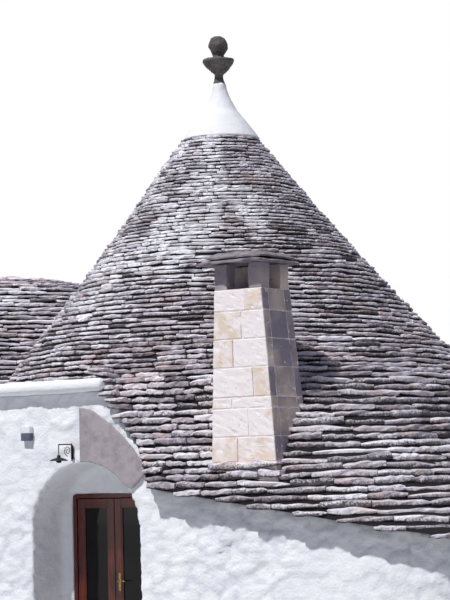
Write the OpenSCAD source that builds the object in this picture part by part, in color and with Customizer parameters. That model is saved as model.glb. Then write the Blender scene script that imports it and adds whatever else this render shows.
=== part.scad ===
// Whitewashed trullo house: drystone walls, a tall cone of limestone slabs over the
// main room, a lower blunt cone over the side room, a tapered chimney and a double door.
// X runs along the front, the front faces -Y, and Z = 0 is the ground.
// The Z axis is the axis of the tall cone.

/* [Walls] */
// Front face of the front wall, in front of the cone's axis
wall_y = 3100; // [2900:10:3400]
// Thickness of the outer walls
wall_t = 950; // [700:10:1000]
// Height of the walls beside and left of the door, under the cornice
wall_h = 3300; // [3100:10:3400]
// Outer face of the left end wall, from the cone's axis
left_x = 6500; // [6200:10:7200]
// Outer face of the rounded right end, from the cone's axis
right_x = 5220; // [4900:10:5800]
// Thickness of the floor inside
floor_t = 80; // [40:5:120]

/* [Cornice] */
// Height of the cornice band
cornice_h = 150; // [100:5:200]
// How far the cornice stands out from the wall
cornice_out = 120; // [60:5:200]

/* [Skirt of slabs] */
// Where the eave starts beside the door, at the foot of the sloping edge
rake_x = 1190; // [1100:10:1250]
// Height of the eave at that point
eave_z = 2150; // [2000:10:2200]
// How round the right end is in plan: 1 is an oval, less is squarer
corner = 0.35; // [0.3:0.01:0.5]
// Fall of the eave towards the right, in mm for each metre
eave_fall = 155; // [100:5:220]
// How far the eave stands out from the wall
eave_out = 180; // [100:5:260]
// Height at which the skirt becomes a true cone
skirt_z = 3900; // [3750:10:4000]

/* [Tall cone] */
// Radius of the cone under the plaster cap
cap_r = 470; // [430:5:560]
// Height of the slabs' top, where the plaster cap starts
cap_z = 6670; // [6400:10:7000]
// Radius of the cone where the skirt starts
foot_r = 2660; // [2500:10:2800]
// Part of that radius which comes from the flare at the foot
cone_flare = 120; // [60:10:300]
// Thickness of the stone shell, measured flat
shell_t = 620; // [450:10:700]
// How far the foot of the cone has settled away from its top
lean = 160; // [0:10:200]
// Direction in which the foot has settled, from +X towards +Y
lean_dir = 35; // [0:5:60]

/* [Plaster cap and finial] */
// Height of the plaster cap
cap_h = 740; // [600:10:900]
// Radius of the finial's stem
stem_r = 62; // [50:1:75]
// Height of the finial's stem
stem_h = 150; // [100:5:220]
// Rim radius of the dish
dish_r = 205; // [170:5:260]
// Height of the dish
dish_h = 180; // [120:5:240]
// Height of the collar between dish and ball
collar_h = 55; // [30:5:90]
// Radius of the ball
ball_r = 127; // [100:1:150]

/* [Blunt cone] */
// Distance of the blunt cone's axis to the left of the tall cone's
wing_x = 3900; // [3800:10:4300]
// Radius of the blunt cone at its foot
wing_r = 3000; // [2800:10:3200]
// Height of the blunt cone's top
wing_top = 5060; // [4900:10:5300]
// How bluntly it rounds over: 1 is a straight cone
wing_bulge = 3; // [1:0.1:3.5]
// Thickness of its stone shell, measured flat
wing_t = 500; // [400:10:600]

/* [Doorway] */
// Centre of the arch, right of the cone's axis
arch_x = 100; // [50:5:150]
// Half the width of the arched recess
arch_r = 800; // [740:5:830]
// Height at which the arch springs
arch_z = 1660; // [1600:10:1700]
// Depth of the recess in front of the door
recess_d = 600; // [450:10:640]
// Centre of the door, right of the cone's axis
door_x = 60; // [40:5:80]
// Width of the door's opening in the wall
door_w = 1240; // [1100:10:1260]
// Clearance of the door opening's upper corners under the arch
head_gap = 12; // [6:1:80]
// Height of the stone threshold
sill_h = 100; // [60:5:130]

/* [Door] */
// Width of the frame's members, seen from the front
frame_w = 50; // [40:1:70]
// Depth of the frame
frame_d = 70; // [60:1:90]
// Thickness of a leaf
leaf_t = 45; // [36:1:50]
// Running gap round a leaf
leaf_gap = 8; // [7:0.5:10]
// Width of a leaf's stiles and top rail
stile_w = 95; // [80:1:110]
// Height of a leaf's bottom rail
rail_h = 260; // [180:5:320]
// Thickness of the glass
glass_t = 6; // [4:1:8]
// Radius of the hinges' knuckles
knuckle_r = 8; // [6:0.5:10]
// Length of a knuckle
knuckle_h = 110; // [80:5:140]
// Height of the lever above the threshold
lever_h = 960; // [900:5:1050]
// Length of the handle's back plate
plate_h = 210; // [160:5:240]
// Length of the lever
lever_l = 125; // [100:5:140]

/* [Chimney] */
// Left face of the chimney
chim_x = 1980; // [1900:5:2100]
// Width of the chimney at the foot of its front face
chim_w = 870; // [800:5:950]
// Width of the chimney under the lantern
chim_top_w = 640; // [560:5:700]
// Depth of the chimney under the lantern
chim_top_d = 570; // [520:5:640]
// Front face at the foot, in front of the cone's axis
chim_y = 3130; // [3060:5:3220]
// Front face under the lantern, in front of the cone's axis
chim_top_y = 3010; // [2950:5:3060]
// Height at which the front face meets the slabs
chim_foot_z = 2380; // [2300:10:2450]
// Height of the top of the shaft
chim_z = 4370; // [4250:10:4500]
// Width of the square flue
flue_w = 260; // [200:5:300]
// Height of the open lantern
lantern_h = 290; // [240:5:340]
// Thickness of each of the two slabs on the chimney
chim_slab_t = 55; // [40:5:70]

/* [Things on the front] */
// Thickness of the stone plaque
plaque_t = 28; // [20:1:40]
// Distance of the lamp's bracket to the left of the cone's axis
lamp_x = 60; // [40:10:420]
// Height of the lamp's disc above the ground
lamp_z = 2500; // [2400:10:2600]
// Height of the bracket's bar on the wall
bracket_h = 200; // [160:5:240]
// Radius of the lamp's disc
lamp_r = 110; // [90:5:130]
// Reach of the lamp's bracket from the wall
lamp_out = 260; // [200:5:320]
// Width of the small box on the wall
box_w = 150; // [120:5:180]
// Height of the small box on the wall
box_h = 170; // [150:5:220]
// Depth of the small box
box_d = 70; // [50:5:100]
// Distance of the small box to the left of the cone's axis
box_x = 730; // [650:10:800]
// Height of the small box's underside above the ground
box_z = 2750; // [2650:10:2850]

/* [Hidden] */

$fn = 96;
big = 20000;                            // reach of a cutting block
slab_grey = "#8f8a88";
lime_white = "#eef0f4";
stone_cream = "#d9cdbb";

wall_in = wall_y - wall_t;              // inner face of the front and back walls
top_z = wall_h + cornice_h;             // top of the cornice, foot of the left roofs
cone_h = cap_z - skirt_z;               // height of the true cone
cone_slope = (foot_r - cone_flare - cap_r) / cone_h;
cap_top = cap_z + cap_h;
stem_top = cap_top + stem_h;
dish_top = stem_top + dish_h;
ball_z = dish_top + collar_h + ball_r;
cone_top_r = 0.2 * cap_r;               // the hollow closes just under the cap
low_r = cone_radius(top_z) + lean;      // reach of the cone on top of the cornice
rake_top = cone_centre(skirt_z).x;      // where the sloping edge meets the true cone
roof_back = 80;                         // roofs over the cornice stop this far inside the walls
roof_y = wall_y - roof_back;
eave_x = right_x + eave_out;
door_reach = abs(arch_x - door_x) + door_w / 2;     // from the arch's centre to a far jamb
door_h = floor(arch_z + sqrt(arch_r * arch_r - door_reach * door_reach) - head_gap);
eave_y = wall_y + eave_out;
mid_z = skirt_z + 0.42 * cone_h;        // joint between the cone's two parts
step = 2.5;                             // angle between two points of the end's outline
bed = 0.2;                              // joint between a wall's top, or a roof, and the skirt
valley = 2;                             // mortar joint between the blunt cone and the tall one
lap = 1;                                // blocks that cut reach this far past a face

// Radius of the tall cone at a height
function cone_radius(z) =
    let (drop = cap_z - z)
    cap_r + drop * cone_slope + cone_flare * pow(drop / cone_h, 3);

// Centre of the tall cone at a height
function cone_centre(z) =
    let (k = lean * pow(max(0, cap_z - z) / cone_h, 1.3))
    [k * cos(lean_dir), k * sin(lean_dir)];

// Point on a ring of the tall cone, drawn in by an amount
function cone_point(z, a, inset) =
    let (r = max(cone_top_r, cone_radius(z) - inset))
    let (c = cone_centre(z))
    [c.x + r * cos(a), c.y + r * sin(a), z];

// Height of the eave, and of the walls' top, at a place along X
function eave_at(x) = eave_z - (x - rake_x) * eave_fall / 1000;

// Half outline of the right end: a squared oval that starts at the rake
function end_point(phi, ax, by) = [
    rake_x + (ax - rake_x) * pow(max(0, cos(phi)), corner),
    by * sign(sin(phi)) * pow(abs(sin(phi)), corner)];

// A point of the skirt: ring 0 is on the cone, ring 1 on the eave's outline
function skirt_point(phi, ring, inset, ax, by) =
    let (foot = end_point(phi, ax, by))
    let (rim = cone_point(skirt_z, phi, inset))
    let (top = [rim.x, rim.y])
    let (flat = top + (foot - top) * ring)
    let (base_z = eave_at(foot.x))
    [flat.x, flat.y, skirt_z + (base_z - skirt_z) * ring];

// A bent panel between an outer and an inner ruled surface
module skirt_panel(phi_a, phi_b, rings = 4, inner = true) {
    cols = (phi_b - phi_a) / step;
    w = rings + 1;
    outer = [for (i = [0:cols], j = [0:rings])
        skirt_point(phi_a + i * step, j / rings, 0, eave_x, eave_y)];
    under = inner ? [for (i = [0:cols], j = [0:rings])
        skirt_point(phi_a + i * step, j / rings, shell_t, right_x - wall_t, wall_in)]
        : [for (i = [0:cols], j = [0:rings])
        let (p = outer[i * w + j])
        [0.1 * p.x + 0.9 * (rake_top + (rake_x - rake_top) * j / rings), 0.1 * p.y, p.z]];
    n = len(outer);
    quads = concat(
        [for (i = [0:cols - 1], j = [0:rings - 1])
            [i * w + j, (i + 1) * w + j, (i + 1) * w + j + 1, i * w + j + 1]],
        [for (i = [0:cols - 1], j = [0:rings - 1])
            [n + i * w + j, n + i * w + j + 1, n + (i + 1) * w + j + 1, n + (i + 1) * w + j]],
        [for (i = [0:cols - 1])
            [i * w, n + i * w, n + (i + 1) * w, (i + 1) * w]],
        [for (i = [0:cols - 1])
            [i * w + rings, (i + 1) * w + rings, n + (i + 1) * w + rings, n + i * w + rings]],
        [for (j = [0:rings - 1])
            [j, j + 1, n + j + 1, n + j]],
        [for (j = [0:rings - 1])
            [cols * w + j, n + cols * w + j, n + cols * w + j + 1, cols * w + j + 1]]);
    faces = [for (q = quads) each [[q[0], q[1], q[2]], [q[0], q[2], q[3]]]];
    polyhedron(concat(outer, under), faces, convexity = 4);
}

// What lies under the sloping edge beside the door, from the ground up
module under_rake(x_left) {
    rotate([90, 0, 0])
        linear_extrude(2 * big, center = true)
            polygon([[-x_left, -lap], [rake_x, -lap], [rake_x, eave_z],
                [rake_top, skirt_z], [-x_left, skirt_z]]);
}

// What lies under the plane of the falling eave
module under_eave() {
    far = 2 * right_x;
    rotate([90, 0, 0])
        linear_extrude(2 * big, center = true)
            polygon([[rake_x - lap, -lap], [far, -lap], [far, eave_at(far) - bed],
                [rake_x - lap, eave_at(rake_x - lap) - bed]]);
}

// Part of the rounded end wall, between two angles of its outline
module end_wall(phi_a, phi_b) {
    cols = (phi_b - phi_a) / step;
    outer = [for (i = [0:cols]) end_point(phi_a + i * step, right_x, wall_y)];
    inner = [for (i = [cols:-1:0]) end_point(phi_a + i * step, right_x - wall_t, wall_in)];
    color(lime_white)
        intersection() {
            linear_extrude(skirt_z) polygon(concat(outer, inner));
            under_eave();
        }
}

module wall_front_left() {
    color(lime_white)
        translate([-left_x, -wall_y, 0])
            cube([left_x + arch_x - arch_r, wall_t, wall_h]);
}

module wall_over_door() {
    x_left = arch_r - arch_x;
    color(lime_white)
        intersection() {
            translate([0, -wall_in, 0])
                rotate([90, 0, 0])
                    linear_extrude(wall_t)
                        difference() {
                            translate([-x_left, arch_z])
                                square([rake_x + x_left, wall_h - arch_z]);
                            translate([arch_x, arch_z]) circle(arch_r);
                        }
            under_rake(x_left);
        }
}

module door_pier_right() {
    color(lime_white)
        translate([arch_x + arch_r, -wall_y, 0])
            cube([rake_x - arch_x - arch_r, wall_t, arch_z]);
}

// The wall behind the recess, as one shape that the three pieces share
module recess_wall() {
    translate([0, -wall_in, 0])
        rotate([90, 0, 0])
            linear_extrude(wall_t - recess_d)
                difference() {
                    union() {
                        translate([arch_x, arch_z]) circle(arch_r);
                        translate([arch_x - arch_r, 0]) square([2 * arch_r, arch_z]);
                    }
                    translate([door_x - door_w / 2, -lap]) square([door_w, door_h + lap]);
                }
}

module recess_part(x_a, x_b, z_a, z_b) {
    color(lime_white)
        intersection() {
            recess_wall();
            translate([x_a, -wall_y, z_a]) cube([x_b - x_a, wall_y, z_b - z_a]);
        }
}

module door_wall_left() { recess_part(-left_x, door_x - door_w / 2, 0, door_h); }
module door_wall_right() { recess_part(door_x + door_w / 2, right_x, 0, door_h); }
module door_wall_top() { recess_part(-left_x, right_x, door_h, wall_h); }

module wall_front_right() { end_wall(-90, -70); }
module wall_corner_front() { end_wall(-70, -10); }
module wall_end_right() { end_wall(-10, 10); }
module wall_corner_back() { end_wall(10, 70); }
module wall_back_right() { end_wall(70, 90); }

module wall_back_left() {
    color(lime_white)
        intersection() {
            translate([-left_x, wall_in, 0]) cube([left_x + rake_x, wall_t, wall_h]);
            under_rake(left_x + lap);
        }
}

module wall_end_left() {
    color(lime_white)
        translate([-left_x, -wall_in, 0]) cube([wall_t, 2 * wall_in, wall_h]);
}

module floor() {
    room = [for (phi = [-90:step:90]) end_point(phi, right_x - wall_t, wall_in)];
    color(stone_cream)
        linear_extrude(floor_t)
            polygon(concat(room, [[wall_t - left_x, wall_in], [wall_t - left_x, -wall_in]]));
}

module threshold() {
    color(stone_cream)
        translate([door_x - door_w / 2, -wall_y + recess_d, 0])
            cube([door_w, wall_t - recess_d, sill_h]);
}

// Rake's place at a height above the eave
function rake_at(z) =
    rake_top + (rake_x - rake_top) * (skirt_z - z) / (skirt_z - eave_z);

module cornice_front() {
    nose = rake_at(wall_h) - 0.25 * cornice_out;
    color(lime_white)
        translate([0, 0, wall_h])
            union() {
                translate([-left_x - cornice_out, -wall_y - cornice_out, 0])
                    cube([left_x + cornice_out + rake_at(top_z), wall_t + cornice_out, cornice_h]);
                translate([rake_at(top_z) - lap, -wall_y - cornice_out, 0])
                    cube([nose - rake_at(top_z) + lap, cornice_out, cornice_h]);
            }
}

module cornice_left() {
    color(lime_white)
        translate([-left_x - cornice_out, -wall_in, wall_h])
            cube([wall_t + cornice_out, 2 * wall_in, cornice_h]);
}

module cornice_back() {
    color(lime_white)
        translate([-left_x - cornice_out, wall_in, wall_h])
            cube([left_x + cornice_out + rake_at(top_z), wall_t + cornice_out, cornice_h]);
}

module skirt_front() { color(slab_grey) skirt_panel(-90, -60); }
module skirt_right_front() { color(slab_grey) skirt_panel(-60, 0); }
module skirt_right_back() { color(slab_grey) skirt_panel(0, 60); }
module skirt_back() { color(slab_grey) skirt_panel(60, 90); }

// A closed ring of the tall cone between two heights; a solid one is a cutter, grown by a joint
module cone_ring(z_a, z_b, steps = 6, hollow = true, cols = 64) {
    grow = hollow ? 0 : valley;
    rows = steps + 1;
    heights = [for (i = [0:steps]) z_a + (z_b - z_a) * i / steps];
    outer = [for (z = heights, i = [0:cols - 1]) cone_point(z, 360 * i / cols, -grow)];
    under = [for (z = heights, i = [0:cols - 1])
        cone_point(z, 360 * i / cols, hollow ? shell_t : cap_r + low_r)];
    n = len(outer);
    last = steps * cols;
    quads = concat(
        [for (j = [0:steps - 1], i = [0:cols - 1])
            let (k = (i + 1) % cols)
            [j * cols + i, (j + 1) * cols + i, (j + 1) * cols + k, j * cols + k]],
        [for (j = [0:steps - 1], i = [0:cols - 1])
            let (k = (i + 1) % cols)
            [n + j * cols + i, n + j * cols + k, n + (j + 1) * cols + k, n + (j + 1) * cols + i]],
        [for (i = [0:cols - 1])
            let (k = (i + 1) % cols)
            [i, k, n + k, n + i]],
        [for (i = [0:cols - 1])
            let (k = (i + 1) % cols)
            [last + i, n + last + i, n + last + k, last + k]]);
    faces = [for (q = quads) each [[q[0], q[1], q[2]], [q[0], q[2], q[3]]]];
    polyhedron(concat(outer, under), faces, convexity = 4);
}

module skirt_left() {
    color(slab_grey)
        intersection() {
            cone_ring(top_z, skirt_z, 2);
            rotate([90, 0, 0])
                linear_extrude(2 * roof_y, center = true)
                    polygon([[-low_r - lap, top_z - lap],
                        [rake_at(top_z - lap) - bed, top_z - lap],
                        [rake_at(skirt_z + lap) - bed, skirt_z + lap],
                        [-low_r - lap, skirt_z + lap]]);
        }
}

module cone_lower() { color(slab_grey) cone_ring(skirt_z, mid_z); }
module cone_upper() { color(slab_grey) cone_ring(mid_z, cap_z); }

module plaster_cap() {
    color("white")
        translate([0, 0, cap_z])
            rotate_extrude()
                polygon([[0, 0], [cap_r, 0], [0.61 * cap_r, 0.4 * cap_h],
                    [0.26 * cap_r, 0.7 * cap_h], [1.2 * stem_r, cap_h], [0, cap_h]]);
}

module finial_stem() {
    color("#7d766c")
        translate([0, 0, cap_top])
            rotate_extrude()
                polygon([[0, 0], [1.15 * stem_r, 0], [stem_r, 0.3 * stem_h],
                    [stem_r, 0.8 * stem_h], [1.3 * stem_r, stem_h], [0, stem_h]]);
}

module finial_dish() {
    color("#7d766c")
        translate([0, 0, stem_top])
            rotate_extrude()
                polygon([[0, 0], [1.3 * stem_r, 0], [0.72 * dish_r, 0.28 * dish_h],
                    [0.95 * dish_r, 0.66 * dish_h], [dish_r, 0.86 * dish_h],
                    [0.92 * dish_r, dish_h], [0, dish_h]]);
}

module finial_ball() {
    collar_r = 0.62 * ball_r;
    color("#6f675e")
        union() {
            translate([0, 0, dish_top]) cylinder(h = collar_h + 0.3 * ball_r, r = collar_r);
            translate([0, 0, ball_z]) sphere(ball_r);
        }
}

// Side view of the blunt cone, moved in by an amount
module wing_profile(inset) {
    rise = wing_top - top_z;
    r = wing_r - inset;
    polygon([[0, top_z], for (k = [0:8])
        [r * (1 - k / 8), top_z + (rise - 0.7 * inset) * (1 - pow(1 - k / 8, wing_bulge))]]);
}

module wing_cone() {
    x_end = left_x - roof_back;
    color(slab_grey)
        difference() {
            intersection() {
                translate([-wing_x, 0, 0]) rotate_extrude() wing_profile(0);
                translate([-x_end, -roof_y, top_z]) cube([x_end, 2 * roof_y, wing_top]);
            }
            translate([-wing_x, 0, -lap]) rotate_extrude() wing_profile(wing_t);
            cone_ring(top_z - lap, skirt_z + lap, 2, hollow = false);
            cone_ring(skirt_z - lap, mid_z, hollow = false);
        }
}

// Solid of the whole tapered chimney from its foot to under the lantern
function chim_low(z) = (z - chim_foot_z) / (chim_z - chim_foot_z);
function chim_corner(z, east, back) =
    let (k = chim_low(z))
    let (w = chim_w + (chim_top_w - chim_w) * k)
    let (y = -chim_y + (chim_y - chim_top_y) * k)
    let (y_back = -chim_top_y + chim_top_d)
    [chim_x + (east ? w : 0), back ? y_back : y, z];

module chimney_block(z_a, z_b) {
    points = [for (z = [z_a, z_b]) each [chim_corner(z, false, false),
        chim_corner(z, true, false), chim_corner(z, true, true), chim_corner(z, false, true)]];
    polyhedron(points, [[0, 1, 2, 3], [7, 6, 5, 4], [0, 4, 5, 1], [1, 5, 6, 2],
        [2, 6, 7, 3], [3, 7, 4, 0]]);
}

chim_mid_z = (chim_foot_z + chim_z) / 2;    // joint between the chimney's base and its shaft
chim_root = 200;                        // depth of its foot under the slabs
flue_x = chim_x + chim_top_w / 2;
flue_y = -chim_top_y + chim_top_d / 2;

module chimney_base() {
    color(stone_cream)
        difference() {
            chimney_block(chim_foot_z - chim_root, chim_mid_z);
            skirt_panel(-90, -60, inner = false);
            skirt_panel(-60, 0, inner = false);
        }
}

module chimney_shaft() {
    color(stone_cream)
        difference() {
            chimney_block(chim_mid_z, chim_z);
            translate([flue_x - flue_w / 2, flue_y - flue_w / 2, chim_mid_z - lap])
                cube([flue_w, flue_w, chim_z]);
            skirt_panel(-90, -60, inner = false);
            skirt_panel(-60, 0, inner = false);
        }
}

module chimney_posts() {
    post = 0.27 * chim_top_w;           // thickness of a post
    for (east = [0, 1], back = [0, 1])
        color(stone_cream)
            translate([chim_x + east * (chim_top_w - post),
                    -chim_top_y + back * (chim_top_d - post), chim_z])
                cube([post, post, lantern_h]);
}

// A slab that hangs over by shares of the chimney's width
module chimney_slab(z, left, right, deep) {
    over = deep * chim_top_w;
    color("#a49c94")
        translate([chim_x - left * chim_top_w, -chim_top_y - over, z])
            cube([(1 + left + right) * chim_top_w, chim_top_d + 2 * over, chim_slab_t]);
}

module chimney_slab_lower() { chimney_slab(chim_z + lantern_h, 0.29, 0.2, 0.27); }
module chimney_slab_upper() { chimney_slab(chim_z + lantern_h + chim_slab_t, 0.1, 0.12, 0.18); }

leaf_w = door_w / 2 - frame_w - 1.5 * leaf_gap;
leaf_h = door_h - frame_w - sill_h - 2 * leaf_gap;
leaf_z = sill_h + leaf_gap;
leaf_back = 25;                         // leaves stand this far behind the recess wall's face
leaf_out = -wall_y + recess_d + leaf_back;
leaf_in = leaf_out + leaf_t;            // inner face of the leaves
fit = 0.3;                              // running gap at a knuckle and beside the glass
frame_lead = 15;                        // the frame starts this far in front of the leaves
hinge_y = leaf_in + knuckle_r;          // axis of the hinges
flag_w = 25;                            // part of a hinge's flag that lies on the frame
flag_t = 3;
hinge_in = 180;                         // hinges stand this far from the ends of a leaf
plate_w = 36;                           // back plate of the handle
plate_t = 6;
lever_t = 18;                           // thickness of the lever
lever_out = 58;                         // how far the lever stands out
curtain_t = 10;                         // depth of the gathered curtain
curtain_in = 30;                        // the curtain stops this far inside the pane

module door_frame() {
    color("#6e2f1b")
        translate([door_x - door_w / 2, leaf_out - frame_lead, sill_h])
            difference() {
                cube([door_w, frame_d, door_h - sill_h]);
                translate([frame_w, -lap, -lap])
                    cube([door_w - 2 * frame_w, frame_d + 2 * lap, door_h - sill_h - frame_w + lap]);
            }
}

// A leaf with its panes cut out, drawn from its hinge edge towards +X
module leaf() {
    color("#7a3219")
        difference() {
            cube([leaf_w, leaf_t, leaf_h]);
            translate([stile_w, -lap, rail_h])
                cube([leaf_w - 2 * stile_w, leaf_t + 2 * lap, leaf_h - rail_h - stile_w]);
        }
}

module pane() {
    color([0.6, 0.7, 0.75, 0.4])
        translate([stile_w, (leaf_t - glass_t) / 2, rail_h])
            cube([leaf_w - 2 * stile_w, glass_t, leaf_h - rail_h - stile_w]);
}

hinge_left = door_x - door_w / 2 + frame_w + leaf_gap;
hinge_right = door_x + door_w / 2 - frame_w - leaf_gap;

// A knuckle with its flag, which is screwed to the back of the frame
module hinge(z) {
    back = leaf_out - frame_lead + frame_d - hinge_y;
    translate([0, hinge_y, z])
        union() {
            cylinder(h = knuckle_h, r = knuckle_r - fit);
            translate([-leaf_gap - flag_w, back, 0]) cube([leaf_gap + flag_w, flag_t, knuckle_h]);
        }
}

module door_hinges() {
    color("#b08d4a")
        for (z = [leaf_z + hinge_in, leaf_z + leaf_h - hinge_in - knuckle_h]) {
            translate([hinge_left, 0, 0]) hinge(z);
            translate([hinge_right, 0, 0]) mirror([1, 0, 0]) hinge(z);
        }
}

module leaf_left() { translate([hinge_left, leaf_out, leaf_z]) leaf(); }
module glass_left() { translate([hinge_left, leaf_out, leaf_z]) pane(); }
module leaf_right() { translate([hinge_right, leaf_out, leaf_z]) mirror([1, 0, 0]) leaf(); }
module glass_right() { translate([hinge_right, leaf_out, leaf_z]) mirror([1, 0, 0]) pane(); }

module door_handle() {
    x = hinge_right - leaf_w + 0.68 * stile_w;
    z = sill_h + lever_h;
    color("#b08d4a")
        translate([x, leaf_out, z])
            union() {
                translate([-plate_w / 2, -plate_t, -0.55 * plate_h]) cube([plate_w, plate_t, plate_h]);
                rotate([90, 0, 0]) cylinder(h = lever_out - lap, r = lever_t / 2);
                translate([-lever_t / 2, -lever_out, -lever_t / 2])
                    cube([lever_l, 0.9 * lever_t, lever_t]);
            }
}

module curtain() {
    width = 0.5 * (leaf_w - 2 * stile_w);
    color("#d8d4cc")
        translate([hinge_left + stile_w + curtain_in, leaf_out + (leaf_t + glass_t) / 2 + fit,
                leaf_z + rail_h + curtain_in])
            cube([width, curtain_t, leaf_h - rail_h - stile_w - 2 * curtain_in]);
}

plaque_left = arch_x - 0.04 * arch_r;

// A corner of the plaque: its share of the height from the eave to the cornice, and its
// share of the way from the plaque's left edge to the sloping edge
function plaque_corner(k, share) =
    let (z = eave_z + k * (wall_h - eave_z))
    [plaque_left + share * (rake_at(z) - plaque_left), z];

module plaque() {
    ring = 1.02 * arch_r;               // the plaque's foot stands just clear of the arch
    color("#9b8f8c")
        translate([0, -wall_y, 0])
            rotate([90, 0, 0])
                linear_extrude(plaque_t)
                    difference() {
                        polygon([[plaque_left, arch_z + ring], plaque_corner(0.84, 0),
                            plaque_corner(0.82, 0.3), plaque_corner(0.7, 0.62),
                            plaque_corner(0.55, 0.83), plaque_corner(0.4, 0.94),
                            plaque_corner(0.16, 0.965), plaque_corner(0, 0.67)]);
                        translate([arch_x, arch_z]) circle(ring);
                    }
}

bar = 14;                               // thickness of the bracket's iron
neck = 60;                              // height of the lamp's neck over the bracket's foot

module lamp_bracket() {
    arm_z = bracket_h - 1.5 * bar;
    color("#2b2b2e")
        translate([-lamp_x, -wall_y, lamp_z])
            union() {
                translate([-0.5 * bar, -bar, 0]) cube([bar, bar, bracket_h]);
                translate([-0.5 * bar, -lamp_out, arm_z]) cube([bar, lamp_out, bar]);
                translate([-0.5 * bar, -lamp_out, neck]) cube([bar, bar, arm_z - neck + lap]);
            }
}

module wall_lamp() {
    tier = neck / 2;                    // height of each of the lamp's three parts
    color("#3a3a3c")
        translate([-lamp_x, -wall_y - lamp_out + bar / 2, lamp_z])
            union() {
                translate([0, 0, tier]) cylinder(h = tier, r = 0.2 * lamp_r);
                cylinder(h = tier, r1 = lamp_r, r2 = 0.55 * lamp_r);
                translate([0, 0, -tier]) cylinder(h = tier, r = 0.27 * lamp_r);
            }
}

module wall_box() {
    color("white")
        translate([-box_x - box_w / 2, -wall_y - box_d, box_z])
            cube([box_w, box_d, box_h]);
}

wall_front_left();
wall_over_door();
door_pier_right();
door_wall_left();
door_wall_right();
door_wall_top();
wall_front_right();
wall_corner_front();
wall_end_right();
wall_corner_back();
wall_back_right();
wall_back_left();
wall_end_left();
floor();
threshold();
cornice_front();
cornice_left();
cornice_back();
skirt_front();
skirt_right_front();
skirt_right_back();
skirt_back();
skirt_left();
cone_lower();
cone_upper();
plaster_cap();
finial_stem();
finial_dish();
finial_ball();
wing_cone();
chimney_base();
chimney_shaft();
chimney_posts();
chimney_slab_lower();
chimney_slab_upper();
door_frame();
door_hinges();
leaf_left();
leaf_right();
glass_left();
glass_right();
door_handle();
curtain();
plaque();
lamp_bracket();
wall_lamp();
wall_box();
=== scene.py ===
import bpy, bmesh, math, random
import numpy as np
from mathutils import Matrix, Vector, noise


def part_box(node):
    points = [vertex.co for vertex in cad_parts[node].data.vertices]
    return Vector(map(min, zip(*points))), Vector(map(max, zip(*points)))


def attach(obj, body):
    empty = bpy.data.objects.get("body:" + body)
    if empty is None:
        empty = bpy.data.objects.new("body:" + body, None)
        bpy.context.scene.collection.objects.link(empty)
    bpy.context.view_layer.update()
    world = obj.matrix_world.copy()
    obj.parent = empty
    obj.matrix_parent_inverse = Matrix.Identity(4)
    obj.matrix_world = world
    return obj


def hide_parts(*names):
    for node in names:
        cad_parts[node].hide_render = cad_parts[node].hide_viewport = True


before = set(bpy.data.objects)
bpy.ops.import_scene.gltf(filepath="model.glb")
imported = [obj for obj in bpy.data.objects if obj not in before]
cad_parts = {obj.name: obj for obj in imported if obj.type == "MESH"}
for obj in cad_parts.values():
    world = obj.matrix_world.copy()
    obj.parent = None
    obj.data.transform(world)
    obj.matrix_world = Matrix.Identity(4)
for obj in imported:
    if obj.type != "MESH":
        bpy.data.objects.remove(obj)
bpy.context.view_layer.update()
print("frame loaded")


# Colours and nodes

def linear(hexText):
    parts = [int(hexText[i:i + 2], 16) / 255 for i in (1, 3, 5)]
    return tuple(c / 12.92 if c < 0.04045 else ((c + 0.055) / 1.055) ** 2.4 for c in parts) + (1.0,)


def addNode(tree, kind, settings=None, links=None):
    node = tree.nodes.new("ShaderNode" + kind)
    for key, value in (settings or {}).items():
        if isinstance(key, int) or key in node.inputs:
            node.inputs[key].default_value = value
        else:
            setattr(node, key, value)
    for key, source in (links or {}).items():
        tree.links.new(source, node.inputs[key])
    return node


def startMaterial(name, roughness, settings=None):
    material = bpy.data.materials.new(name)
    material.use_nodes = True
    tree = material.node_tree
    shader = tree.nodes["Principled BSDF"]
    shader.inputs["Roughness"].default_value = roughness
    for key, value in (settings or {}).items():
        shader.inputs[key].default_value = value
    return material, tree, shader, addNode(tree, "TexCoord").outputs["Object"]


def fillRamp(ramp, stops):
    elements = ramp.color_ramp.elements
    while len(elements) < len(stops):
        elements.new(0.5)
    for element, (place, colour) in zip(elements, stops):
        element.position = place
        element.color = linear(colour)


# Colours laid over body, each where its pattern passes from start to full
def layered(tree, body, layers):
    for pattern, start, full, most, colour in layers:
        factor = addNode(tree, "MapRange", {"From Min": start, "From Max": full, "To Max": most},
            {"Value": pattern})
        mix = addNode(tree, "Mix", {"data_type": "RGBA", 7: linear(colour)},
            {"Factor": factor.outputs[0]})
        if isinstance(body, str):
            mix.inputs[6].default_value = linear(body)
        else:
            tree.links.new(body, mix.inputs[6])
        body = mix.outputs[2]
    return body


def joinShader(tree, shader, colour, height, strength, distance):
    if colour:
        tree.links.new(colour, shader.inputs["Base Color"])
    bump = addNode(tree, "Bump", {"Strength": strength, "Distance": distance}, {"Height": height})
    tree.links.new(bump.outputs[0], shader.inputs["Normal"])


# Split limestone: rough grey slabs with lichen, and old limewash where it was painted on. The lichen colour
# also lays painted shade, with dirt, on each slab's underside and lower face
slabLook = {
    "stones": [(0.0, "#625b62"), (0.28, "#a098a1"), (0.6, "#d2ccd5"), (1.0, "#f4f1f8")],
    "pink": "#d3bbb5", "lichenAndShade": "#2a252c", "wash": "#f8f8fd",
    "blotchMm": 90, "warmMm": 1000 / 3.1, "lichenMm": 28, "pitMm": 14, "pitDepth": 0.012,
}


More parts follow.
